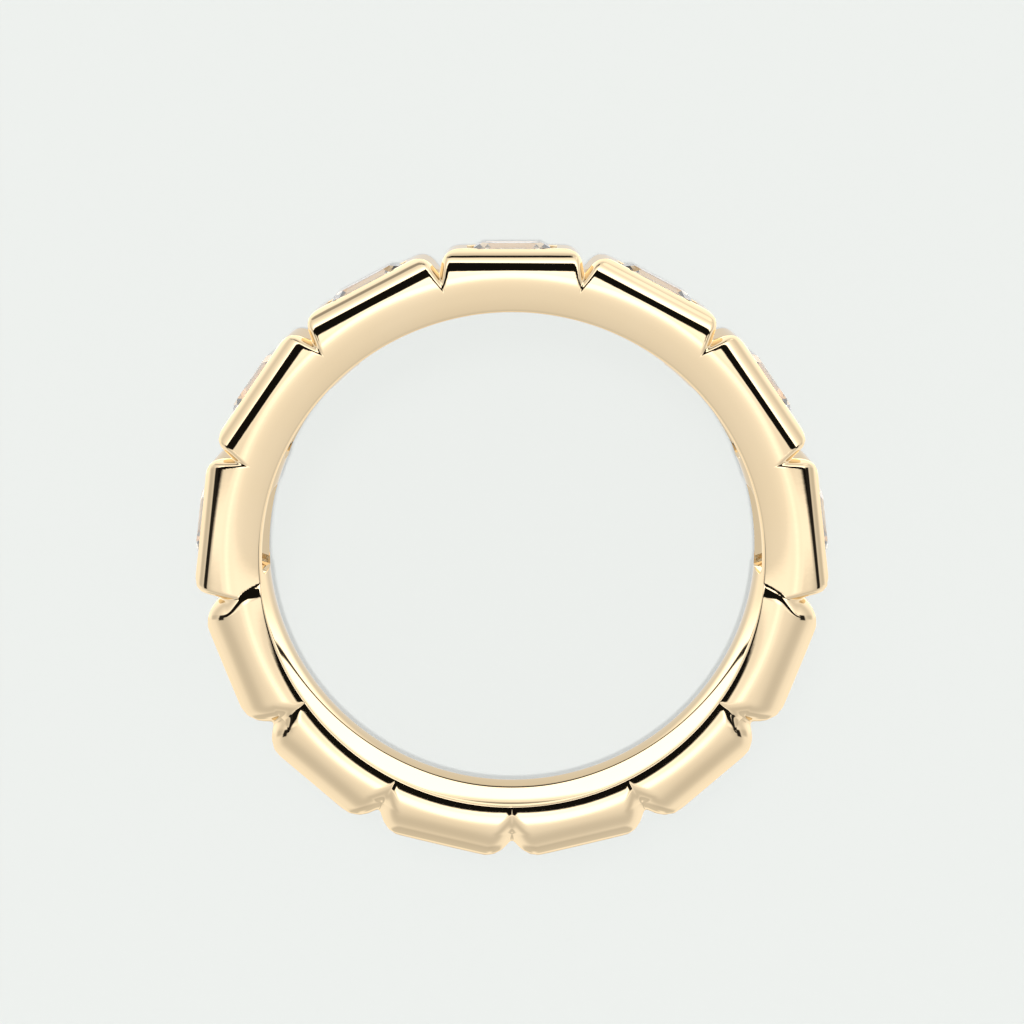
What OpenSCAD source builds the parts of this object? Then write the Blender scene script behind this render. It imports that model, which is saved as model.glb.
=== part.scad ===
// Half eternity band: a cast gold ring of thirteen links round the finger, in millimetres.
// Seven links over one half each hold an oblong step-cut stone set flush in the metal.
// Six plain pillow links close the other half.
// The ring lies on its side: +Z is the axis of the finger hole, and the middle stone is at +Y.

/* [Finger hole] */
// Inner diameter at the crown of the band
bore_d = 16.9; // [16:0.1:18.5]
// Rounding from the hole to the side faces, for comfort
bore_edge_r = 0.5; // [0.3:0.05:0.55]

/* [Band] */
// Width of the band along the finger
band_w = 2.9; // [2.8:0.05:3.2]

/* [Stone links] */
// Height of a stone link's flat top over the finger hole
stone_link_h = 2.2; // [2.15:0.05:2.5]
// Height of the groove between two stone links over the finger hole
stone_valley_h = 1.65; // [1.5:0.05:1.75]
// Rounding of a stone link's ends
stone_corner_r = 0.5; // [0.3:0.05:0.6]
// Rounding of a stone link's long edges
stone_edge_r = 0.43; // [0.3:0.01:0.45]

/* [Plain links] */
// Height of the first plain link's top over the finger hole, on each side of the stones
plain_link_h = 2.19; // [2.1:0.01:2.25]
// How much lower the top of each next plain link is
plain_link_fall = 0.07; // [0:0.01:0.1]
// Height of the groove beside a plain link over the finger hole
plain_valley_h = 1.5; // [1.4:0.05:1.6]
// Rounding of a plain link's ends
plain_corner_r = 0.8; // [0.5:0.05:0.9]
// Rounding of a plain link's long edges
plain_edge_r = 0.85; // [0.5:0.05:0.9]

/* [Grooves] */
// Angle of each wall of a groove to the groove's middle
groove_angle = 22; // [18:1:25]
// Depth of a groove where it wraps onto the side faces
side_groove_depth = 0.26; // [0.15:0.01:0.3]
// Width of a groove on the side faces
side_groove_w = 0.36; // [0.2:0.01:0.45]

/* [Stones] */
// Length of a stone along the band
stone_l = 3.14; // [3:0.01:3.2]
// Width of a stone across the band
stone_w = 2.14; // [2:0.01:2.2]
// Cut of a stone's corners, along each side
stone_corner = 0.42; // [0.3:0.01:0.5]
// Height of the table over the flat top of its link
table_rise = 0.16; // [0.05:0.01:0.2]
// Height of the crown, from the girdle to the table
crown_h = 0.4; // [0.35:0.01:0.45]
// Depth of the pavilion, from the girdle to the keel
pavilion_h = 0.87; // [0.7:0.01:0.95]

/* [Setting] */
// Width of metal that laps over the edge of a stone
lip = 0.06; // [0.04:0.01:0.08]
// Gap between a stone and its seat
seat_gap = 0.03; // [0.02:0.005:0.04]
// Width of the ledge that carries a stone
ledge = 0.195; // [0.15:0.005:0.22]

/* [Hidden] */
// Links round the band, and how many of them hold a stone
link_count = 13;
stone_count = 7;
last_link = (link_count - 1) / 2;
last_stone = (stone_count - 1) / 2;
pitch = 360 / link_count;
mitre = pitch / 2;

bore_r = bore_d / 2;
stone_top_r = bore_r + stone_link_h;
plain_top_r = bore_r + plain_link_h;

// The links stand on a round hoop, just under the bottom of the deepest grooves
hoop_drop = 0.05;
hoop_r = bore_r + min(stone_valley_h, plain_valley_h) - hoop_drop;
// How far the end of a link runs on into the hoop
link_root = 0.6;

// A groove between two stone links starts on the side face this far over the finger hole,
// reaches its full depth over this length, and has walls of this slope
fade_start = 1.05;
fade_l = 0.6;
fade_slope = 1.3;

// Length, width and corner cut of a stone at its girdle, table and keel
girdle = [stone_l, stone_w, stone_corner];
table = [1.99, 1.12, 0.24];
keel = [1.0, 0.05, 0.015];
girdle_h = 0.04;
// Steps of the crown: share of its height, and share of the way in to the table
crown_steps = [[0, 0], [0.6, 0.5], [1, 1]];
// Steps of the pavilion: share of its depth, and share of the way in to the keel
pavilion_steps = [[1, 1], [0.72, 0.66], [0.36, 0.3], [0, 0]];

// Heights of a seat over the middle of the ring. The pavilion's first step is straight, so
// the depth of the ledge under the girdle follows from the width of the ledge.
girdle_r = stone_top_r + table_rise - crown_h;
first_step = pavilion_steps[2];
step_slope = first_step[0] * pavilion_h / (first_step[1] * (stone_w - keel[1]) / 2);
ledge_r = girdle_r - girdle_h - ledge * step_slope - seat_gap;
lip_r = girdle_r + lip + seat_gap;

// How far a cutter runs past the metal, and how far its rounding stands proud of a face
over = 1;
proud = 0.004;
// Straight pieces of a full circle
detail = 96;

// Links are numbered from the middle stone at +Y, clockwise
function has_stone(i) = abs(i) <= last_stone;

// Radius of the flat top of link i. The plain links get lower away from the stones.
function top_of(i) =
    has_stone(i) ? stone_top_r : plain_top_r - plain_link_fall * (abs(i) - last_stone - 1);

function mix(a, b, share) = a + (b - a) * share;

// An oblong with its four corners cut off, from its length, width and corner cut
function oblong(size) =
    let (x = size[0] / 2, y = size[1] / 2, c = size[2])
    [[x, y - c], [x - c, y], [c - x, y], [-x, y - c], [-x, c - y], [c - x, -y], [x - c, -y], [x, c - y]];

// The girdle's outline, wider by a margin all round, with its corner cut changed
function girdle_grown(margin, corner) = oblong(girdle + [2 * margin, 2 * margin, corner]);

function lifted(outline, h) = [for (p = outline) [p[0], p[1], h]];

// Outlines of the stone from the keel up to the table, with the girdle's upper edge at 0
function stone_outlines() = concat(
    [for (step = pavilion_steps)
        lifted(oblong(mix(girdle, keel, step[1])), -girdle_h - step[0] * pavilion_h)],
    [for (step = crown_steps)
        lifted(oblong(mix(girdle, table, step[1])), step[0] * crown_h)]);

// A closed solid through a stack of outlines with the same number of corners
module lofted(outlines) {
    n = len(outlines[0]);
    top = n * (len(outlines) - 1);
    sides = [for (k = [0:len(outlines) - 2]) for (i = [0:n - 1])
        let (a = k * n + i, b = k * n + (i + 1) % n) [a, a + n, b + n, b]];
    polyhedron(
        points = [for (outline = outlines) each outline],
        faces = concat([[for (i = [0:n - 1]) i]], sides, [[for (i = [n - 1:-1:0]) top + i]]),
        convexity = 2);
}

// Turns a shape from the middle link at +Y to link i
module turned_to(i) {
    rotate([0, 0, -i * pitch])
        children();
}

// The same shape on both side faces of the band
module both_sides() {
    for (side = [0, 1])
        mirror([0, 0, side])
            children();
}

// Half of a link's outline seen along the finger: the foot of its end, the two points where
// the rounding starts and stops, and the centre of the rounding
function link_end(top_r, valley_r, corner_r) =
    let (
        lean = mitre - groove_angle,
        up = [sin(lean), cos(lean)],
        inward = [-cos(lean), sin(lean)],
        valley = valley_r * [sin(mitre), cos(mitre)],
        rise = (top_r - corner_r - valley[1] - corner_r * inward[1]) / up[1],
        centre = valley + rise * up + corner_r * inward)
    [valley - link_root * up, valley + rise * up, [centre[0], top_r], centre];

// Outline of one link seen along the finger, with round ends
module link_outline(top_r, valley_r, corner_r) {
    end = link_end(top_r, valley_r, corner_r);
    right = [end[0], end[1], end[2]];
    left = [for (k = [2:-1:0]) [-right[k][0], right[k][1]]];
    polygon(concat(right, left));
    for (side = [-1, 1])
        translate([side * end[3][0], end[3][1]])
            circle(r = corner_r, $fn = detail);
}

// All thirteen links as one flat outline, extruded to the width of the band
module link_ring() {
    linear_extrude(height = band_w, center = true) {
        circle(r = hoop_r, $fn = detail);
        for (i = [-last_link:last_link])
            turned_to(i)
                if (has_stone(i))
                    link_outline(top_of(i), bore_r + stone_valley_h, stone_corner_r);
                else
                    link_outline(top_of(i), bore_r + plain_valley_h, plain_corner_r);
    }
}

// What rounding takes off an edge, as a square corner less a circle. The circle stands a
// little proud of both faces, so that it cuts them cleanly.
module corner_waste(r) {
    difference() {
        square(over);
        translate([proud, proud])
            circle(r = r, $fn = detail);
    }
}

// What rounding takes off the two long edges of the middle link
module edge_waste(top_r, edge_r) {
    reach = (top_r - edge_r) * tan(mitre) - 2 * proud;
    both_sides()
        translate([0, top_r - edge_r, band_w / 2 - edge_r])
            rotate([90, 0, 90])
                linear_extrude(height = 2 * reach, center = true)
                    corner_waste(edge_r);
}

// The finger hole, a true cylinder that rounds out to the side faces
module finger_hole() {
    cylinder(r = bore_r, h = band_w + 2 * over, center = true, $fn = 2 * detail);
    both_sides()
        rotate_extrude($fn = 2 * detail)
            translate([bore_r + bore_edge_r, band_w / 2 - bore_edge_r])
                mirror([1, 0])
                    corner_waste(bore_edge_r);
}

// A groove along +Y across both side faces, from the hole out past the rim
module side_groove() {
    half_w = side_groove_w / 2;
    both_sides()
        translate([0, 0, band_w / 2])
            rotate([-90, 0, 0])
                linear_extrude(height = stone_top_r + over)
                    polygon([[-half_w, -over], [-half_w, 0], [0, side_groove_depth],
                        [half_w, 0], [half_w, -over]]);
}

// A groove along +Y across both side faces, that fades out towards the hole
module fading_groove() {
    fade = atan(side_groove_depth / fade_l);
    both_sides()
        translate([0, bore_r + fade_start, band_w / 2])
            rotate([-90 - fade, 0, 0])
                linear_extrude(height = stone_link_h + over)
                    polygon([[-over, -fade_slope * over], [0, 0], [over, -fade_slope * over]]);
}

// The seat of one stone: the pocket under its lip, the opening in the top and the open back
module seat() {
    translate([0, 0, ledge_r])
        linear_extrude(height = lip_r - ledge_r)
            polygon(girdle_grown(seat_gap, 0));
    translate([0, 0, ledge_r])
        linear_extrude(height = stone_top_r + over - ledge_r)
            polygon(girdle_grown(-lip, -lip / 2));
    translate([0, 0, bore_r - over])
        linear_extrude(height = lip_r - bore_r + over)
            polygon(girdle_grown(-ledge, -ledge));
}

// Stands a shape that was drawn with its outer side at +Z on link i
module on_link(i) {
    turned_to(i)
        rotate([-90, 0, 0])
            children();
}

// The cast gold band
module band() {
    color([0.85, 0.72, 0.48])
        difference() {
            link_ring();
            for (i = [-last_link:last_link])
                turned_to(i)
                    edge_waste(top_of(i), has_stone(i) ? stone_edge_r : plain_edge_r);
            for (i = [-last_link:last_link])
                turned_to(i + 0.5)
                    if (has_stone(i) && has_stone(i + 1))
                        fading_groove();
                    else
                        side_groove();
            finger_hole();
            for (i = [-last_stone:last_stone])
                on_link(i)
                    seat();
        }
}

// The clear step-cut stone of link i, with its table outwards
module stone(i) {
    color([0.93, 0.95, 0.98])
        on_link(i)
            translate([0, 0, girdle_r])
                lofted(stone_outlines());
}

band();
stone(-3);  // stone_1
stone(-2);  // stone_2
stone(-1);  // stone_3
stone(0);  // stone_4
stone(1);  // stone_5
stone(2);  // stone_6
stone(3);  // stone_7
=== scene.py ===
"""A half eternity band that lies on its side: gold links, step-cut stones and a plain studio.

Lengths are in metres in the settings and in millimetres inside the rules. The frame's +Z is the axis of
the finger hole and points up, and +Y runs through the middle stone. A link is numbered from there,
clockwise as seen from above."""

import math

import bmesh
import bpy
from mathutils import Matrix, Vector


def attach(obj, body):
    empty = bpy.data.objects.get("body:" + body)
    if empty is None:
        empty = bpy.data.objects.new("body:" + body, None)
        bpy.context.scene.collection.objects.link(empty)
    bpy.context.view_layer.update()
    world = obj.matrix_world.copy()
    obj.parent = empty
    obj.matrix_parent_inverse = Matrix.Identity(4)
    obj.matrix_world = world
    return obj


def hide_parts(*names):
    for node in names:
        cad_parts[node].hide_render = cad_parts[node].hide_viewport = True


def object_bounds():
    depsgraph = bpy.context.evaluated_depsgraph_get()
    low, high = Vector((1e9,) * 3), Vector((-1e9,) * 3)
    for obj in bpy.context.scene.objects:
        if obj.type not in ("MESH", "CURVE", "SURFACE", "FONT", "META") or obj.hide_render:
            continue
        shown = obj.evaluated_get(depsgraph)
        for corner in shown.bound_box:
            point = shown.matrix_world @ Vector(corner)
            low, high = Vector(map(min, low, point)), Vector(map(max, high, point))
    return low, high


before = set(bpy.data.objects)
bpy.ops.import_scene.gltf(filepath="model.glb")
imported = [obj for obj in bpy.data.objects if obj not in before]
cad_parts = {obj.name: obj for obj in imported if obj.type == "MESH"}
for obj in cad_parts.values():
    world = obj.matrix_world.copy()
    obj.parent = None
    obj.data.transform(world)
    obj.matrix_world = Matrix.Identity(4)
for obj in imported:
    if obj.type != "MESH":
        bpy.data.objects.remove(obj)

CAD_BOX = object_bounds()
MM = 0.001
BODY = "root"
STONES = ["stone_1", "stone_2", "stone_3", "stone_4", "stone_5", "stone_6", "stone_7"]

bl_info = {
    "name": "Half Eternity Band",
    "version": (1, 0, 0),
    "blender": (4, 5, 0),
    "location": "3D View > Sidebar > Ring",
    "description": "Builds a gold band of oblong links with step-cut stones, and a studio round it",
    "category": "Add Mesh",
}


# Settings


def length(name, description, mm):
    """A length setting, given in millimetres."""
    return bpy.props.FloatProperty(
        name=name, description=description, default=mm * MM, unit="LENGTH", subtype="DISTANCE", precision=5
    )


def angle(name, description, degrees):
    """An angle setting, given in degrees."""
    return bpy.props.FloatProperty(
        name=name, description=description, default=math.radians(degrees), unit="ROTATION", subtype="ANGLE"
    )


def number(name, description, value):
    """A plain number setting."""
    return bpy.props.FloatProperty(name=name, description=description, default=value, precision=4)


def count(name, description, value):
    """A whole number setting."""
    return bpy.props.IntProperty(name=name, description=description, default=value, min=1)


def colour(name, description, rgb):
    """A colour setting, in linear values."""
    return bpy.props.FloatVectorProperty(
        name=name, description=description, default=rgb, size=3, subtype="COLOR", min=0.0, max=1.0
    )


class BandSizes(bpy.types.PropertyGroup):
    """Sizes of the gold band."""

    links: count("Links", "Links round the whole band", 13)
    stone_links: count("Stone links", "Links that hold a stone", 7)
    hole: length("Hole radius", "Radius of the finger hole at its crown", 8.44)
    comfort: number("Comfort", "Opening of the hole a millimetre from its crown, in millimetres", 0.07)
    hole_edge: length("Hole edge", "Softness of the edge between the hole and the side faces", 0.08)
    half_width: length("Half width", "Half the width of the band along the finger", 1.449)
    stone_top: length("Stone link top", "Radius of the flat top of a stone link", 10.65)
    stone_round: length("Stone link rounding", "Rounding of its outline, seen along the finger", 0.74)
    stone_side: length("Stone link side rounding", "Rounding of its edges, across the band", 0.43)
    stone_norm: number("Stone link corner", "How square the outline's rounding is, from 2, round", 3.0)
    stone_end: length("Stone link end rounding", "Rounding from a link's end to its side faces", 0.25)
    stone_valley: length("Stone valley", "Radius of the bottom of the groove between stone links", 10.08)
    groove: angle("Groove", "Angle of each wall of the groove between stone links", 22.0)
    plain_top: length("Plain link top", "Radius of the flat top of the first plain links", 10.6)
    plain_fall: length("Plain link fall", "How much lower each next plain link is", 0.075)
    plain_round: length("Plain link rounding", "Rounding of its outline, seen along the finger", 1.2)
    plain_side: length("Plain link side rounding", "Rounding of its edges, across the band", 0.62)
    plain_end: length("Plain link end rounding", "Rounding from a link's end to its side faces", 0.8)
    plain_reach: length("Plain link reach", "Distance from the middle of a plain link to its end", 2.4)
    valley_soft: length("Valley softness", "Softness of the bottom of a stone link's groove", 0.3)
    waist_soft: length("Waist softness", "Softness of the groove between two plain links", 0.5)
    crease: length("Crease softness", "Softness of the crease at a link's corners", 0.04)


class StoneSizes(bpy.types.PropertyGroup):
    """Sizes of a step-cut stone and of its seat."""

    length: length("Length", "Length of a stone along the band", 3.14)
    width: length("Width", "Width of a stone across the band", 2.14)
    corner: length("Corner", "Cut of a stone's corners", 0.42)
    table_rise: length("Table rise", "Height of the table over the top of its link", 0.15)
    crown: length("Crown height", "Height of the crown over the girdle", 0.40)
    girdle: length("Girdle", "Thickness of the girdle", 0.04)
    pavilion: length("Pavilion depth", "Depth of the pavilion under the girdle", 0.87)
    lip: length("Lip", "Width of metal that laps over the stone", 0.06)
    gap: length("Seat gap", "Gap between a stone and its seat", 0.03)
    ledge: length("Ledge", "Width of the ledge that carries a stone", 0.195)
    chamfer: length("Edge break", "Broken edge round the opening of a seat", 0.03)
    flare: length("Back flare", "How much a seat's open back widens at the finger hole", 0.14)
    flare_depth: length("Back flare depth", "How far that flare reaches up from the finger hole", 0.45)


class Finishes(bpy.types.PropertyGroup):
    """Colours and polish."""

    gold: colour("Gold", "Pale yellow gold, head on", (0.815, 0.655, 0.435))
    gold_deep: colour("Deep gold", "The richer gold of less rubbed places", (0.805, 0.64, 0.415))
    polish: number("Polish", "Roughness of the polished gold", 0.03)
    stone: colour("Stone", "Body colour of the stones", (0.985, 0.99, 1.0))
    floor: colour("Floor", "Colour of the floor", (0.66, 0.68, 0.66))


class Studio(bpy.types.PropertyGroup):
    """Camera and lights."""

    eye_height: length("Camera height", "Height of the camera over the middle of the ring", 63.5)
    eye_back: length("Camera offset", "Distance of the camera from the ring's axis, towards +Y", 14.71)
    aim: length("Aim", "Place on the Y axis that the camera looks at", 5.778)
    lens: number("Lens", "Focal length in millimetres", 66.0)
    shift: number("Shift", "How far the view is moved upright, as a share of its width", -0.12)
    room: number("Room light", "Strength of the room that the gold mirrors", 1.0)
    key: number("Key light", "Strength of the light on the floor from above", 1.08)
    side: number("Side light", "Strength of the light on the floor from the upper left", 0.14)


# Nodes


class Wire:
    """An output socket that joins in arithmetic. Each operator adds a Math node to its tree."""

    def __init__(self, net, socket):
        self.net = net
        self.socket = socket

    def __add__(self, other):
        return self.net.math("ADD", self, other)

    def __radd__(self, other):
        return self.net.math("ADD", other, self)

    def __sub__(self, other):
        return self.net.math("SUBTRACT", self, other)

    def __rsub__(self, other):
        return self.net.math("SUBTRACT", other, self)

    def __mul__(self, other):
        return self.net.math("MULTIPLY", self, other)

    def __rmul__(self, other):
        return self.net.math("MULTIPLY", other, self)

    def __truediv__(self, other):
        return self.net.math("DIVIDE", self, other)

    def __rtruediv__(self, other):
        return self.net.math("DIVIDE", other, self)

    def __pow__(self, other):
        return self.net.math("POWER", self, other)

    def __neg__(self):
        return self.net.math("MULTIPLY", self, -1.0)

    def __abs__(self):
        return self.net.math("ABSOLUTE", self)

    def __lt__(self, other):
        return self.net.math("LESS_THAN", self, other)

    def __gt__(self, other):
        return self.net.math("GREATER_THAN", self, other)

    def out(self, name):
        """Another output of the same node."""
        return Wire(self.net, self.socket.node.outputs[name])


class Net:
    """Adds nodes to one tree."""

    def __init__(self, tree):
        self.tree = tree

    def node(self, kind, settings=None, sockets=None, out=0):
        """A node of this kind, with its settings made before its sockets are filled."""
        node = self.tree.nodes.new(kind)
        for name, value in (settings or {}).items():
            if name == "stops":
                set_stops(node.color_ramp, value)
            elif name == "curve":
                set_curve(node.mapping, value)
            else:
                setattr(node, name, value)
        for key, value in (sockets or {}).items():
            self.plug(node.inputs[key], value)
        return Wire(self, node.outputs[out]) if node.outputs else node

    def plug(self, socket, value):
        """Links a wire to a socket, or sets the socket to a plain value."""
        if isinstance(value, Wire):
            self.tree.links.new(value.socket, socket)
        else:
            socket.default_value = value

    def math(self, operation, *terms):
        return self.node("ShaderNodeMath", {"operation": operation}, dict(enumerate(terms)))

    def vector(self, operation, *terms):
        return self.node("ShaderNodeVectorMath", {"operation": operation}, dict(enumerate(terms)))

    def blend(self, share, a, b):
        """Colour a, turning to colour b as share goes from 0 to 1."""
        return self.node("ShaderNodeMix", {"data_type": "RGBA"}, {0: share, 6: a, 7: b}, out=2)

    def step(self, value, low, high):
        """Goes smoothly from 0 to 1 while value goes from low to high."""
        return self.node(
            "ShaderNodeMapRange",
            {"interpolation_type": "SMOOTHSTEP"},
            {"Value": value, "From Min": low, "From Max": high},
        )

    def band(self, value, low, high, soft):
        """1 while value is between low and high, with soft edges, and 0 elsewhere."""
        return self.step(value, low - soft, low + soft) * (1 - self.step(value, high - soft, high + soft))

    def xyz(self, vector):
        """The three parts of a vector."""
        parts = self.node("ShaderNodeSeparateXYZ", sockets={0: vector})
        return parts, parts.out("Y"), parts.out("Z")

    def join(self, x, y, z):
        return self.node("ShaderNodeCombineXYZ", sockets={"X": x, "Y": y, "Z": z})

    def over(self, value, start):
        """How far value is over start, and 0 below it."""
        return self.math("MAXIMUM", value - start, 0.0)


def set_stops(ramp, stops):
    """Gives a ramp these stops, each a place from 0 to 1 and a grey value or a colour."""
    while len(ramp.elements) > 1:
        ramp.elements.remove(ramp.elements[-1])
    for index, (place, value) in enumerate(stops):
        rgb = value if isinstance(value, tuple) else (value, value, value)
        stop = ramp.elements[0] if index == 0 else ramp.elements.new(place)
        stop.position = place
        stop.color = (*rgb, 1.0)


def set_curve(mapping, points):
    """Gives a curve mapping these points, the first and last at its ends."""
    curve = mapping.curves[0]
    for index, (x, y) in enumerate(points):
        if index in (0, len(points) - 1):
            point = curve.points[0 if index == 0 else -1]
            point.location = (x, y)
        else:
            point = curve.points.new(x, y)
        point.handle_type = "AUTO_CLAMPED"
    mapping.update()


SOCKET_KINDS = {
    float: "NodeSocketFloat",
    int: "NodeSocketInt",
    bpy.types.Object: "NodeSocketObject",
    bpy.types.Material: "NodeSocketMaterial",
}


def new_tree(name, values):
    """A Geometry Nodes tree with a named input for each value, as its net and its input wires."""
    tree = bpy.data.node_groups.new(name, "GeometryNodeTree")
    tree.is_modifier = True
    for label, value in values.items():
        tree.interface.new_socket(label, in_out="INPUT", socket_type=SOCKET_KINDS[type(value)])
    tree.interface.new_socket("Geometry", in_out="OUTPUT", socket_type="NodeSocketGeometry")
    net = Net(tree)
    inputs = net.node("NodeGroupInput")
    return net, {label: inputs.out(label) for label in values}


def end_tree(net, geometry, material):
    """Ends a tree: what it makes is plain mesh with its material."""
    plain = net.node("GeometryNodeRealizeInstances", sockets={"Geometry": geometry})
    painted = net.node("GeometryNodeSetMaterial", sockets={"Geometry": plain, "Material": material})
    net.node("NodeGroupOutput", sockets={"Geometry": painted})


def made_by(name, net, values):
    """A new object whose plain mesh is what the tree makes from these values."""
    obj = bpy.data.objects.new(name, bpy.data.meshes.new(name))
    bpy.context.scene.collection.objects.link(obj)
    modifier = obj.modifiers.new(name, "NODES")
    modifier.node_group = net.tree
    for item in net.tree.interface.items_tree:
        if item.item_type == "SOCKET" and item.in_out == "INPUT":
            modifier[item.identifier] = values[item.name]
    depsgraph = bpy.context.evaluated_depsgraph_get()
    mesh = bpy.data.meshes.new_from_object(obj.evaluated_get(depsgraph), depsgraph=depsgraph)
    mesh.name = name
    obj.modifiers.clear()
    obj.data = mesh
    return obj


# Outlines and plain shapes, in millimetres


def oblong(size, height):
    """The eight points of an oblong with cut corners, from its length, width and corner cut."""
    x, y, cut = size[0] / 2, size[1] / 2, size[2]
    quarter = [(x, y - cut), (x - cut, y)]
    half = quarter + [(-px, py) for px, py in reversed(quarter)]
    return [(px, py, height) for px, py in half + [(-px, -py) for px, py in half]]


def grown(size, margin, corner=0.0):
    """An oblong's size, wider by a margin all round, with its corner cut changed."""
    return (size[0] + 2 * margin, size[1] + 2 * margin, size[2] + corner)


def between(a, b, share):
    return tuple(p + (q - p) * share for p, q in zip(a, b))


def lofted(name, outlines):
    """A closed object through a stack of outlines, which helps a tree and is deleted after it."""
    mesh = bmesh.new()
    rings = [[mesh.verts.new(point) for point in outline] for outline in outlines]
    for low, high in zip(rings, rings[1:]):
        for i in range(len(low)):
            j = (i + 1) % len(low)
            mesh.faces.new((low[i], low[j], high[j], high[i]))
    mesh.faces.new(reversed(rings[0]))
    mesh.faces.new(rings[-1])
    bmesh.ops.recalc_face_normals(mesh, faces=mesh.faces)
    data = bpy.data.meshes.new(name)
    mesh.to_mesh(data)
    mesh.free()
    obj = bpy.data.objects.new(name, data)
    bpy.context.scene.collection.objects.link(obj)
    return obj


# Length, width and corner cut of a stone's table and of its keel
TABLE = (1.99, 1.12, 0.24)
KEEL = (1.0, 0.05, 0.015)
# Steps of the cut: share of the height, and share of the way in to the table or the keel
CROWN_STEPS = [(0.0, 0.0), (0.6, 0.5), (1.0, 1.0)]
PAVILION_STEPS = [(1.0, 1.0), (0.72, 0.66), (0.36, 0.3), (0.0, 0.0)]


def in_mm(group):
    """The settings of a group, with its lengths in millimetres."""
    values = {}
    for name, prop in group.bl_rna.properties.items():
        if prop.type in {"FLOAT", "INT"} and not getattr(prop, "is_array", False):
            value = getattr(group, name)
            values[name] = value / MM if prop.unit == "LENGTH" else value
    return values


def girdle_of(stone):
    """A stone's size at its girdle, and the height of the girdle's upper edge over the ring's axis."""
    top = in_mm(bpy.context.scene.ring_band)["stone_top"]
    return (stone["length"], stone["width"], stone["corner"]), top + stone["table_rise"] - stone["crown"]


def stone_outlines(stone):
    """Outlines of a stone from its keel up to its table."""
    girdle, height = girdle_of(stone)
    pavilion = [
        oblong(between(girdle, KEEL, share), height - stone["girdle"] - depth * stone["pavilion"])
        for depth, share in PAVILION_STEPS
    ]
    crown = [
        oblong(between(girdle, TABLE, share), height + rise * stone["crown"]) for rise, share in CROWN_STEPS
    ]
    return pavilion + crown


def seat_outlines(stone, hole, top):
    """Outlines of what is cut out for a stone, from inside the finger hole to over the link's top."""
    girdle, height = girdle_of(stone)
    depth, share = PAVILION_STEPS[2]
    slope = depth * stone["pavilion"] / (share * (girdle[1] - KEEL[1]) / 2)
    ledge = height - stone["girdle"] - stone["ledge"] * slope - stone["gap"]
    lip = height + stone["lip"] + stone["gap"]
    back = grown(girdle, -stone["ledge"], -stone["ledge"])
    pocket = grown(girdle, stone["gap"])
    mouth = grown(girdle, -stone["lip"], -stone["lip"] / 2)
    cut = stone["chamfer"]
    over = 1.0
    return [
        oblong(grown(back, stone["flare"]), hole - over),
        oblong(grown(back, stone["flare"]), hole),
        oblong(back, hole + stone["flare_depth"]),
        oblong(back, ledge),
        oblong(pocket, ledge),
        oblong(pocket, lip),
        oblong(mouth, lip),
        oblong(mouth, top - cut),
        oblong(grown(mouth, cut), top),
        oblong(grown(mouth, cut), top + over),
    ]


# The gold band


def on_links(net, shape, copies, pitch):
    """One shape, drawn with its outer side at +Z, stood on each of the middle links."""
    line = net.node(
        "GeometryNodeMeshLine", sockets={"Count": copies, "Start Location": (0, 0, 0), "Offset": (0, 0, 0)}
    )
    index = net.node("GeometryNodeInputIndex")
    turn = ((copies - 1) / 2 - index) * pitch
    euler = net.node("FunctionNodeEulerToRotation", sockets={0: net.join(-math.pi / 2, 0.0, turn)})
    source = net.node("GeometryNodeObjectInfo", sockets={"Object": shape}).out("Geometry")
    stood = net.node(
        "GeometryNodeInstanceOnPoints", sockets={"Points": line, "Instance": source, "Rotation": euler}
    )
    return net.node("GeometryNodeRealizeInstances", sockets={"Geometry": stood})


def kept(net, geometry, name, value):
    """Keeps a value on each point under a name."""
    return net.node(
        "GeometryNodeStoreNamedAttribute",
        {"data_type": "FLOAT", "domain": "POINT"},
        {"Geometry": geometry, "Name": name, "Value": value},
    )


def recalled(net, name):
    """A value that was kept on each point."""
    return net.node("GeometryNodeInputNamedAttribute", {"data_type": "FLOAT"}, {"Name": name})


def choose(share, a, b):
    """Value a where the share is 1, and value b where it is 0."""
    return b + (a - b) * share


# Grid cells along each link and round the section of the band
COLUMNS = 66
ROWS = 108
# How the slope of the rays climbs over the rows of one half of the section
ROWS_CLIMB = [(0, 0), (0.185, 0.328), (0.407, 0.467), (0.5, 0.561), (0.944, 0.822), (1, 1)]


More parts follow.
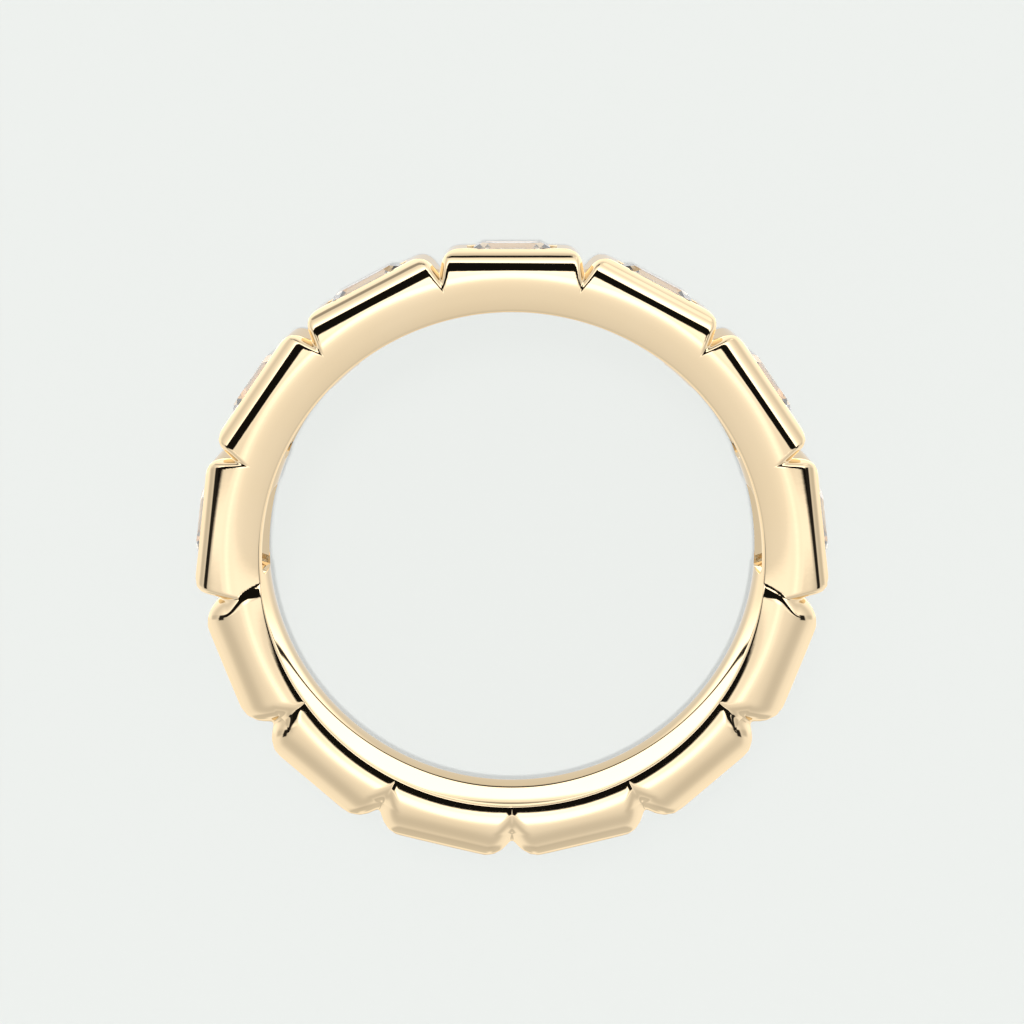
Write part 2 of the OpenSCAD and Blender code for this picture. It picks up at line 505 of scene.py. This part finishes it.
def link_distance(net, given, place, link, mitre, both_plain):
    """Rough distance of a place outside one link, a box with its edges rounded. Negative inside.

    The place is its radius, its angle from the middle of the link and its height. The link is how
    many links it is from the middle one, and both_plain is 1 where it and the next one hold no stone."""
    radius, swing, height = place
    along = radius * net.math("SINE", swing)
    out = radius * net.math("COSINE", swing)
    is_stone = link < given["Stone Links"] / 2
    first_plain = (given["Stone Links"] + 1) / 2
    plain_top = given["Plain Top"] - (link - first_plain) * given["Plain Fall"]
    top = choose(is_stone, given["Stone Top"], plain_top)
    reach = choose(is_stone, given["Stone Round"], given["Plain Round"])
    side_reach = choose(is_stone, given["Stone Side"], given["Plain Side"])
    end_reach = choose(is_stone, given["Stone End"], given["Plain End"])
    norm = choose(is_stone, given["Stone Norm"], 2.0)

    # The end of a stone link leans back from the groove, and that of a plain link is upright
    lean = (given["Groove"] - mitre) * is_stone
    foot_along = given["Stone Valley"] * net.math("SINE", mitre)
    foot_out = given["Stone Valley"] * net.math("COSINE", mitre)
    lean_cos = net.math("COSINE", lean)
    lean_sin = net.math("SINE", lean)
    stone_end = (foot_along - along) * lean_cos + (foot_out - out) * lean_sin
    end = choose(is_stone, stone_end, given["Plain Reach"] - along)

    # The outline seen along the finger
    near_top = net.over(reach, top - out)
    near_end = net.over(reach, end)
    outline = (near_top**norm + near_end**norm) ** (1 / norm) - reach

    # The side face is flat as far in as its crest, and drops from there towards the hole
    crest = choose(is_stone, 9.9, 9.5)
    bend = choose(is_stone, 1.66, 2.0)
    drop = 0.12
    half_width = given["Half Width"] - net.over(crest, radius) ** bend * drop

    # The edges between the outline and the side face. The end of a plain link fades out inwards,
    # and does so from further out beside a stone link
    near_side = net.over(abs(height), half_width - side_reach) * (reach / side_reach)
    most_fade = 0.33
    plain_fade = net.math("MINIMUM", net.over(9.6, radius) * 0.5, most_fade)
    shoulder_fade = (1 - net.step(radius, 9.2, 9.9)) * most_fade
    fade = choose(both_plain, plain_fade, shoulder_fade) * (1 - is_stone)
    near_edge = net.over(reach, (end + fade) * (reach / end_reach))
    near_rim = (near_top**norm + near_edge**norm) ** (1 / norm)
    rounded = (near_rim**2.0 + near_side**2.0) ** 0.5 - reach
    return net.math("SMOOTH_MAX", outline, rounded, given["Crease"])


def band_tree(values):
    """The rule for the band: rays from the middle of its section are stopped at its surface."""
    net, given = new_tree("Ring of links", values)
    links = given["Links"]
    pitch = 2 * math.pi / links
    mitre = pitch / 2

    grid = net.node(
        "GeometryNodeMeshGrid",
        sockets={
            "Size X": 1.0,
            "Size Y": 1.0,
            "Vertices X": links * given["Columns"] + 1,
            "Vertices Y": given["Rows"] + 1,
        },
    )
    x, y, _ = net.xyz(net.node("GeometryNodeInputPosition"))

    # Round the band: which link, and the angle from its middle, with more columns near its ends
    along = (x + 0.5) * links
    first = net.math("FLOOR", along)
    link = first - (links - 1) / 2
    share = (along - first) * 2 - 1
    bunch = 0.4
    swing = mitre * share * (1 + bunch - bunch * share * share)
    beside = link + net.math("SIGN", share)

    # Round the section: the slope of each ray, with more rows at the rounded edges
    half = (y + 0.5) * 2
    climb = net.node(
        "ShaderNodeFloatCurve",
        {"curve": ROWS_CLIMB},
        {"Factor": 1.0, "Value": net.math("PINGPONG", half, 1.0)},
    )
    slope = (climb - 0.5) * math.pi
    rules = {
        "turn": link * pitch + swing,
        "swing": abs(swing),
        "own_link": net.math("MINIMUM", abs(link), links - abs(link)),
        "next_link": net.math("MINIMUM", abs(beside), links - abs(beside)),
        "ray_out": net.math("SINE", slope),
        "ray_up": net.math("COSINE", slope) * net.math("SIGN", 1 - half),
    }
    mesh = grid
    for name, value in rules.items():
        mesh = kept(net, mesh, name, value)
    turn, swing, own, beside, ray_out, ray_up = (recalled(net, name) for name in rules)
    outwards = net.join(net.math("SINE", turn), net.math("COSINE", turn), 0.0)
    ray = net.vector("ADD", scaled(net, outwards, ray_out), net.join(0.0, 0.0, ray_up))

    # Every ray starts in the middle of the metal, and halving steps bring it to the surface
    core = 9.05
    first_step = 0.625
    halvings = 20
    start = net.vector("ADD", scaled(net, outwards, core), scaled(net, ray, 2 * first_step))
    mesh = net.node("GeometryNodeSetPosition", sockets={"Geometry": mesh, "Position": start})
    loop_in = net.tree.nodes.new("GeometryNodeRepeatInput")
    loop_out = net.tree.nodes.new("GeometryNodeRepeatOutput")
    loop_in.pair_with_output(loop_out)
    loop_out.repeat_items.new("FLOAT", "Step")
    net.plug(loop_in.inputs["Iterations"], halvings)
    net.plug(loop_in.inputs["Geometry"], mesh)
    net.plug(loop_in.inputs["Step"], first_step)
    step = Wire(net, loop_in.outputs["Step"])

    px, py, height = net.xyz(net.node("GeometryNodeInputPosition"))
    radius = (px * px + py * py) ** 0.5
    last_stone = given["Stone Links"] / 2
    both_plain = (own > last_stone) * (beside > last_stone)
    own_link = link_distance(net, given, (radius, swing, height), own, mitre, both_plain)
    next_link = link_distance(net, given, (radius, pitch - swing, height), beside, mitre, both_plain)
    # The soft bottom of each groove fades out towards the hole
    deep = given["Stone Valley"]
    groove_soft = given["Valley Soft"] * net.step(radius, deep - 0.6, deep - 0.2)
    waist_soft = given["Waist Soft"] * net.step(radius, deep - 1.2, deep - 0.5)
    soft = choose(both_plain, waist_soft, groove_soft)
    metal = net.math("SMOOTH_MIN", own_link, next_link, soft)
    finger = given["Hole"] + height * height * given["Comfort"] - radius
    outside = net.math("SMOOTH_MAX", metal, finger, given["Hole Edge"])
    stride = step * (1 - (outside > 0.0) * 2)
    moved = net.node(
        "GeometryNodeSetPosition",
        sockets={"Geometry": Wire(net, loop_in.outputs["Geometry"]), "Offset": scaled(net, ray, stride)},
    )
    net.plug(loop_out.inputs["Geometry"], moved)
    net.plug(loop_out.inputs["Step"], step / 2)

    # Close the seams, cut the seats and go over to metres
    mesh = Wire(net, loop_out.outputs["Geometry"])
    for name in rules:
        mesh = net.node("GeometryNodeRemoveAttribute", sockets={"Geometry": mesh, "Name": name})
    closed_gap = 0.0005
    mesh = net.node("GeometryNodeMergeByDistance", sockets={"Geometry": mesh, "Distance": closed_gap})
    mesh = net.node("GeometryNodeFlipFaces", sockets={"Mesh": mesh})
    mesh = net.node("GeometryNodeSetShadeSmooth", sockets={"Geometry": mesh, "Shade Smooth": True})
    seats = on_links(net, given["Seat"], given["Stone Links"], pitch)
    seats = net.node("GeometryNodeSetShadeSmooth", sockets={"Geometry": seats, "Shade Smooth": False})
    mesh = net.node(
        "GeometryNodeMeshBoolean",
        {"operation": "DIFFERENCE", "solver": "MANIFOLD"},
        {"Mesh 1": mesh, "Mesh 2": seats},
    )
    mesh = net.node("GeometryNodeTransform", sockets={"Geometry": mesh, "Scale": (MM, MM, MM)})
    end_tree(net, mesh, given["Gold"])
    return net


def scaled(net, vector, factor):
    """A vector made longer or shorter."""
    return net.node("ShaderNodeVectorMath", {"operation": "SCALE"}, {0: vector, "Scale": factor})


def stones_tree(values):
    """The seven stones, each stood on its link."""
    net, given = new_tree("Stones on their links", values)
    stones = on_links(net, given["Stone"], given["Stone Links"], 2 * math.pi / given["Links"])
    stones = net.node("GeometryNodeSetShadeSmooth", sockets={"Geometry": stones, "Shade Smooth": False})
    stones = net.node("GeometryNodeTransform", sockets={"Geometry": stones, "Scale": (MM, MM, MM)})
    end_tree(net, stones, given["Glass"])
    return net


# Materials


def new_material(name):
    """An empty node material, as itself and its net."""
    material = bpy.data.materials.new(name)
    material.use_nodes = True
    material.node_tree.nodes.clear()
    return material, Net(material.node_tree)


def shade(net, sockets):
    """Ends a material with a Principled shader."""
    shader = net.node("ShaderNodeBsdfPrincipled", sockets=sockets)
    net.node("ShaderNodeOutputMaterial", sockets={"Surface": shader})


def noise(net, place, scale, detail=2.0):
    """Cloudy noise between about 0 and 1."""
    return net.node(
        "ShaderNodeTexNoise", sockets={"Vector": place, "Scale": scale, "Detail": detail, "Roughness": 0.5}
    )


def gold_material(finish):
    """Polished pale yellow gold, with faint wear."""
    material, net = new_material("gold")
    place = net.node("ShaderNodeTexCoord").out("Object")
    cloud = noise(net, place, scale=260.0, detail=3.0)
    hair = noise(net, net.vector("MULTIPLY", place, (1.0, 1.0, 0.12)), scale=5200.0, detail=4.0)
    worn = net.step(cloud, 0.35, 0.7)
    tint = net.blend(worn, (*finish.gold_deep, 1.0), (*finish.gold, 1.0))
    polish = finish.polish * (0.75 + 0.5 * cloud) + 0.02 * net.step(hair, 0.55, 0.75)
    bump = net.node("ShaderNodeBump", sockets={"Strength": 0.02, "Distance": 0.00001, "Height": hair})
    shade(
        net,
        {
            "Base Color": tint,
            "Metallic": 1.0,
            "Roughness": polish,
            "Specular Tint": (0.94, 0.87, 0.74, 1.0),
            "Normal": bump,
        },
    )
    return material


def stone_material(finish):
    """Clear, colourless, highly refracting stone."""
    material, net = new_material("stone")
    place = net.node("ShaderNodeTexCoord").out("Object")
    cloud = noise(net, place, scale=900.0)
    tint = net.blend(cloud, (*finish.stone, 1.0), (1.0, 1.0, 1.0, 1.0))
    shade(
        net,
        {
            "Base Color": tint,
            "Roughness": 0.004 + 0.006 * cloud,
            "IOR": 2.417,
            "Transmission Weight": 1.0,
        },
    )
    return material


def floor_material(finish):
    """Matt pale card."""
    material, net = new_material("floor")
    place = net.node("ShaderNodeTexCoord").out("Object")
    cloud = noise(net, place, scale=12.0)
    pale = tuple(value * 0.985 for value in finish.floor)
    shade(net, {"Base Color": net.blend(cloud, (*pale, 1.0), (*finish.floor, 1.0)), "Roughness": 0.9})
    return material


# The studio

# Brightness of the room by the angle from straight up, in degrees, for its +Y half and for its -Y half
BRIGHTEST = 2.5
STONE_HALF = [
    (0, 2.3), (29, 2.3), (33, 1.7), (37, 1.35), (42, 1.18), (48, 1.05), (60, 0.88), (68, 0.92),
    (80, 1.2), (92, 1.4), (110, 1.5), (132, 1.6), (142, 2.3), (180, 2.3),
]
PLAIN_HALF = [
    (0, 2.3), (2.6, 2.2), (3.6, 1.6), (4.5, 1.35), (6, 1.2), (8, 1.12), (12, 1.04), (16, 1.0),
    (20, 0.94), (25, 0.85), (30, 0.78), (36, 0.76), (42, 0.79), (48, 0.88), (54, 1.02),
    (60, 1.12), (70, 1.17), (80, 1.22), (150, 1.3), (180, 1.3),
]


def by_angle(net, degrees, stops):
    """Brightness by an angle of 0 to 180 degrees."""
    ramp = [(place / 180, value / BRIGHTEST) for place, value in stops]
    return net.node("ShaderNodeValToRGB", {"stops": ramp}, {"Fac": degrees / 180}) * BRIGHTEST


def build_world(studio):
    """The room, which the polished metal mirrors: a lamp overhead, dark cards and pale walls.

    A place in it is given in degrees. Its rise is how far it lies towards +Y, its side how far it lies
    from straight up towards +X, and wide is the side without its sign."""
    world = bpy.data.worlds.new("studio")
    bpy.context.scene.world = world
    world.use_nodes = True
    world.node_tree.nodes.clear()
    net = Net(world.node_tree)
    x, y, z = net.xyz(net.node("ShaderNodeTexCoord").out("Generated"))
    degree = math.pi / 180
    fall = net.math("ARCCOSINE", z) / degree
    lamp_tilt = 9.3 * degree
    from_lamp = net.math("ARCCOSINE", z * math.cos(lamp_tilt) - y * math.sin(lamp_tilt)) / degree
    rise = net.math("ARCSINE", y) / degree
    side = net.math("ARCTAN2", x, z) / degree
    wide = abs(side)

    # The walls, which are darker far over on the -Y side
    light = by_angle(net, fall, STONE_HALF)
    low = net.band(-rise, 61, 84, 5) * (1 - net.step(wide, 120, 150))
    plain = by_angle(net, from_lamp, PLAIN_HALF) * (1 - 0.35 * low)
    light = plain + (light - plain) * net.step(rise, -10, -1)

    def cover(value, mask):
        return light + (value - light) * mask

    # The far edge of the room, as a darker strip on both sides
    light = cover(0.72, net.band(rise, -12, 2, 4) * net.band(wide, 52, 74, 8))
    # The seam of the ceiling, above the lamp and behind the ring
    seam = net.band(rise - 0.08 * side, 45.5, 58, 1) * (1 - net.step(side, 3, 12))
    light = cover(0.01, seam * (0.55 + 0.44 * net.step(side, -45, -8)) * net.step(side, -88, -60))
    light = cover(1.3, net.band(rise, 34.5, 44, 1.5) * net.step(wide, 120, 165))
    light = cover(0.4, net.band(rise, 37.8, 40.2, 0.8) * net.step(wide, 138, 165))
    light = cover(1.45, net.band(rise, 35, 52, 3) * net.band(side, 32, 56, 6))
    # The backdrop behind the ring, and its dark upper edge
    edge = rise + 1 - 17.7 * net.step(wide, 148, 178)
    light = cover(0.87, net.step(-edge, 0, 1.5) * net.step(wide, 156, 168) * net.step(rise, -62, -52))
    light = cover(0.03, net.band(edge, -1.3, 1.3, 0.7) * net.step(wide, 126, 138))
    # The bright rim of the hollow, on its -Y side
    light = cover(1.4, net.band(rise - 0.117 * wide, -14.3, -12, 0.8) * net.band(wide, 3, 28, 4))
    # The dark hollow over the lamp
    foot = net.step(y + net.math("MINIMUM", abs(x) * 0.62, 0.11 + abs(x) * 0.05), -0.045, -0.012)
    roof = 0.43 - 0.95 * abs(x + 0.06) ** 1.2
    light = cover(0.008, foot * (1 - net.step(y - roof, -0.012, 0.012)) * net.step(z, 0.1, 0.3))
    # Its two feet, low down on both sides
    light = cover(0.02, net.band(wide, 34, 47, 2.5) * net.band(rise, -17, 0, 2))

    glow = net.node("ShaderNodeBackground", sockets={"Color": light, "Strength": studio.room})
    net.node("ShaderNodeOutputWorld", sockets={"Surface": glow})


def build_sun(name, strength, softness, lean, turn):
    """A soft light on the floor, leant from straight above and turned from +Y, by degrees."""
    light = bpy.data.lights.new(name, "SUN")
    light.energy = strength
    light.angle = math.radians(softness)
    sun = bpy.data.objects.new(name, light)
    bpy.context.scene.collection.objects.link(sun)
    sun.rotation_euler = (-math.radians(lean), 0.0, math.radians(turn))
    sun.visible_glossy = False
    sun.visible_transmission = False


def build_floor(finish):
    """A pale floor under the ring."""
    half = 2.0
    mesh = bmesh.new()
    corners = [(-half, -half), (half, -half), (half, half), (-half, half)]
    mesh.faces.new([mesh.verts.new((x, y, CAD_BOX[0][2])) for x, y in corners])
    data = bpy.data.meshes.new("floor")
    mesh.to_mesh(data)
    mesh.free()
    data.materials.append(floor_material(finish))
    floor = bpy.data.objects.new("floor", data)
    bpy.context.scene.collection.objects.link(floor)
    floor.visible_glossy = False


def build_camera(studio):
    """The camera, at the photograph's angle, which looks down at the ring."""
    camera = bpy.data.objects.new("camera", bpy.data.cameras.new("camera"))
    bpy.context.scene.collection.objects.link(camera)
    camera.location = (0.0, studio.eye_back, studio.eye_height)
    camera.rotation_euler.x = -math.atan2(studio.eye_back - studio.aim, studio.eye_height)
    camera.data.lens = studio.lens
    camera.data.shift_y = studio.shift
    camera.data.clip_start = 0.001
    bpy.context.scene.camera = camera


# Operators


class RING_OT_band(bpy.types.Operator):
    """Build the gold band with its seats"""

    bl_idname = "ring.band"
    bl_label = "Gold Band"

    def execute(self, context):
        band = in_mm(context.scene.ring_band)
        stone = in_mm(context.scene.ring_stone)
        seat = lofted("seat", seat_outlines(stone, band["hole"], band["stone_top"]))
        values = {name.replace("_", " ").title(): value for name, value in band.items()}
        values["Columns"] = COLUMNS
        values["Rows"] = ROWS
        values["Seat"] = seat
        values["Gold"] = gold_material(context.scene.ring_finish)
        obj = made_by("gold_band", band_tree(values), values)
        bpy.data.objects.remove(seat)
        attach(obj, BODY)
        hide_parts("band")
        obj.visible_diffuse = False
        return {"FINISHED"}


class RING_OT_stones(bpy.types.Operator):
    """Cut the stones and set them in their seats"""

    bl_idname = "ring.stones"
    bl_label = "Stones"

    def execute(self, context):
        band = context.scene.ring_band
        shape = lofted("stone_shape", stone_outlines(in_mm(context.scene.ring_stone)))
        values = {
            "Links": band.links,
            "Stone Links": band.stone_links,
            "Stone": shape,
            "Glass": stone_material(context.scene.ring_finish),
        }
        obj = made_by("step_cut_stones", stones_tree(values), values)
        bpy.data.objects.remove(shape)
        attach(obj, BODY)
        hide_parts(*STONES)
        obj.visible_diffuse = False
        return {"FINISHED"}


class RING_OT_stage(bpy.types.Operator):
    """Set up the floor, the light and the camera"""

    bl_idname = "ring.stage"
    bl_label = "Studio"

    def execute(self, context):
        scene = context.scene
        build_floor(scene.ring_finish)
        build_world(scene.ring_studio)
        build_sun("key_light", scene.ring_studio.key, softness=4, lean=1, turn=0)
        build_sun("side_light", scene.ring_studio.side, softness=22, lean=34, turn=20)
        build_camera(scene.ring_studio)
        scene.view_settings.view_transform = "Standard"
        return {"FINISHED"}


class RING_PT_panel(bpy.types.Panel):
    """Sizes and colours of the ring, and the steps that build it"""

    bl_label = "Half Eternity Band"
    bl_space_type = "VIEW_3D"
    bl_region_type = "UI"
    bl_category = "Ring"

    def draw(self, context):
        for label, group in GROUPS.items():
            box = self.layout.box()
            box.label(text=group.__doc__)
            settings = getattr(context.scene, label)
            for name in group.__annotations__:
                box.prop(settings, name)
        for operator in OPERATORS:
            self.layout.operator(operator.bl_idname)


GROUPS = {"ring_band": BandSizes, "ring_stone": StoneSizes, "ring_finish": Finishes, "ring_studio": Studio}
OPERATORS = [RING_OT_band, RING_OT_stones, RING_OT_stage]


def register():
    for kind in (*GROUPS.values(), *OPERATORS, RING_PT_panel):
        bpy.utils.register_class(kind)
    for label, group in GROUPS.items():
        setattr(bpy.types.Scene, label, bpy.props.PointerProperty(type=group))


def unregister():
    for label in GROUPS:
        delattr(bpy.types.Scene, label)
    for kind in (RING_PT_panel, *reversed(OPERATORS), *reversed(GROUPS.values())):
        bpy.utils.unregister_class(kind)


def main():
    register()
    bpy.ops.ring.stage()
    bpy.ops.ring.band()
    bpy.ops.ring.stones()


if __name__ == "__main__":
    main()
